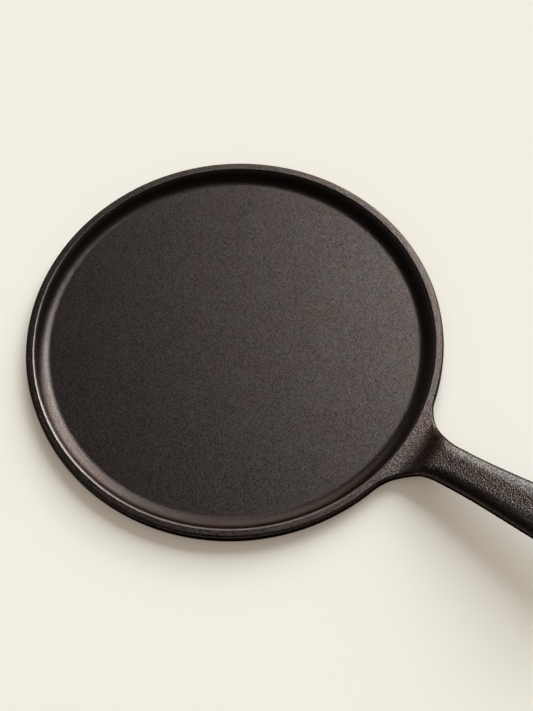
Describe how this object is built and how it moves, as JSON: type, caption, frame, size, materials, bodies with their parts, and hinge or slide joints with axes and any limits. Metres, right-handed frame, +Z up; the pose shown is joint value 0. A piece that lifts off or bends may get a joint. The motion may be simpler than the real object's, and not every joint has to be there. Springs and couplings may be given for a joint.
{
  "type": "dosa tawa",
  "caption": "Round, shallow cast-iron griddle with a low raised rim, a coved cooking recess and a long rising handle with a hanging hole.",
  "frame": {"origin": "centre of the round base, on the flat face that it rests on", "axes": "+X from the centre along the handle, +Z up from the base through the cooking surface, +Y to the left of the handle seen from its tip"},
  "size_m": [0.467, 0.304, 0.0395],
  "materials": {
    "cooking_iron": "seasoned, fine pebbled sand-cast grain, satin",
    "rim_iron": "seasoned, pebbled sand-cast grain, edge polished by use",
    "handle_iron": "seasoned, coarse pebbled sand-cast grain"
  },
  "bodies": {
    "root": {"griddle_plate": "cooking_iron", "raised_rim": "rim_iron", "handle_root": "handle_iron", "handle_grip": "handle_iron", "hanging_eye": "handle_iron"}
  },
  "joints": []
}
